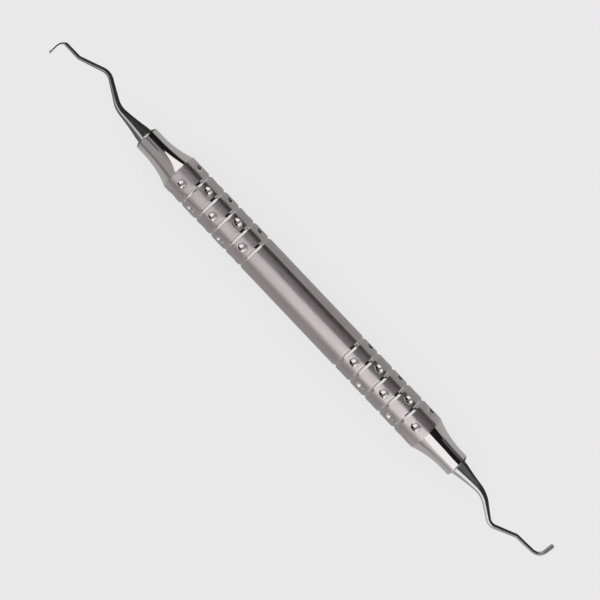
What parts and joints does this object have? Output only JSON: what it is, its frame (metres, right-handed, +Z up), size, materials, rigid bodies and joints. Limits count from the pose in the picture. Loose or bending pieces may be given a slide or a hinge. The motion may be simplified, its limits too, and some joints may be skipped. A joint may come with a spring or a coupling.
{
  "type": "hand scaler",
  "caption": "Slim round metal handle with ring grooves and finger dimples, a polished nose at each end and a thin bent shank with a hooked scaling blade.",
  "frame": {"origin": "on the handle's axis at its mid-length, which is the centre of the bounding box to within 0.6 mm", "axes": "+X runs along the handle towards the end whose shank first bends to -Y, the shanks bend in the XY plane, and +Z is up, away from the surface that the handle lies on"},
  "size_m": [0.1727, 0.01, 0.01],
  "materials": {
    "satin_steel": "satin blasted stainless steel",
    "polished_steel": "mirror polished stainless steel",
    "braze_filler": "bright silver brazing filler",
    "instrument_steel": "fine polished hardened stainless steel"
  },
  "bodies": {
    "root": {"handle_tube": "satin_steel", "nose_left": "polished_steel", "nose_right": "polished_steel", "braze_fillet_left": "braze_filler", "braze_fillet_right": "braze_filler", "working_end_left": "instrument_steel", "working_end_right": "instrument_steel"}
  },
  "joints": []
}
